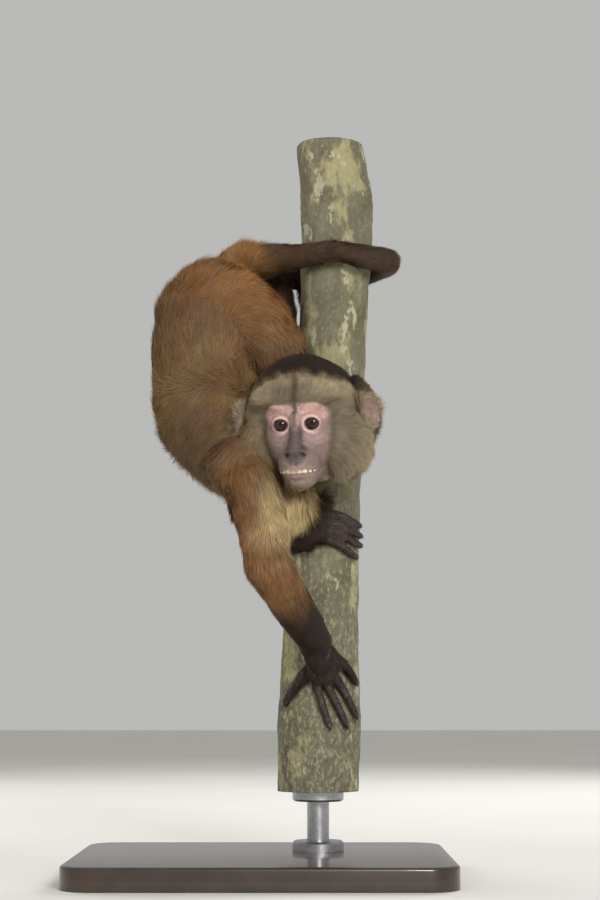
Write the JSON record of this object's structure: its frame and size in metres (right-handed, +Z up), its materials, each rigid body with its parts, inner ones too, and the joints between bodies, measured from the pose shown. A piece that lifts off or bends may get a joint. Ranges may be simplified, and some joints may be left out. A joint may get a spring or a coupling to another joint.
{
  "type": "capuchin monkey model",
  "caption": "Life-size still model of a white-fronted capuchin hanging head-down on a cut tree trunk, tail round the trunk, face turned outward, on a display stand.",
  "frame": {"origin": "centre of the underside of the stand's base", "axes": "+Z up along the tree trunk; -Y is the side to which the animal lifts its face; +X is the trunk's side, away from the animal's back"},
  "size_m": [0.3, 0.2445, 0.612],
  "materials": {
    "rust_fur": "shaggy fur, rust to red-brown",
    "cream_fur": "short dense fur, cream to olive grey",
    "dark_fur": "short fur, blackish brown",
    "dark_skin": "creased bare skin, purplish grey",
    "eye": "wet, dark brown",
    "enamel": "glossy ivory",
    "bark": "rough grey-olive bark with lichen",
    "steel": "satin",
    "lacquered_wood": "dark satin lacquer"
  },
  "bodies": {
    "root": {"rump": "rust_fur", "belly": "rust_fur", "chest": "rust_fur", "thigh_left": "rust_fur", "shank_left": "rust_fur", "upper_arm_left": "rust_fur", "forearm_left": "rust_fur", "upper_arm_right": "rust_fur", "forearm_right": "rust_fur", "head": "cream_fur", "neck": "cream_fur", "thigh_right": "dark_fur", "shank_right": "dark_fur", "tail_root": "dark_fur", "tail_front": "dark_fur", "tail_side": "dark_fur", "tail_back": "dark_fur", "tail_tip": "dark_fur", "ear_left": "dark_skin", "ear_right": "dark_skin", "hand_left": "dark_skin", "hand_right": "dark_skin", "foot_left": "dark_skin", "foot_right": "dark_skin", "eye_left": "eye", "eye_right": "eye", "teeth_upper": "enamel", "perch_trunk": "bark", "stand_rod": "steel", "stand_base": "lacquered_wood"}
  },
  "joints": []
}
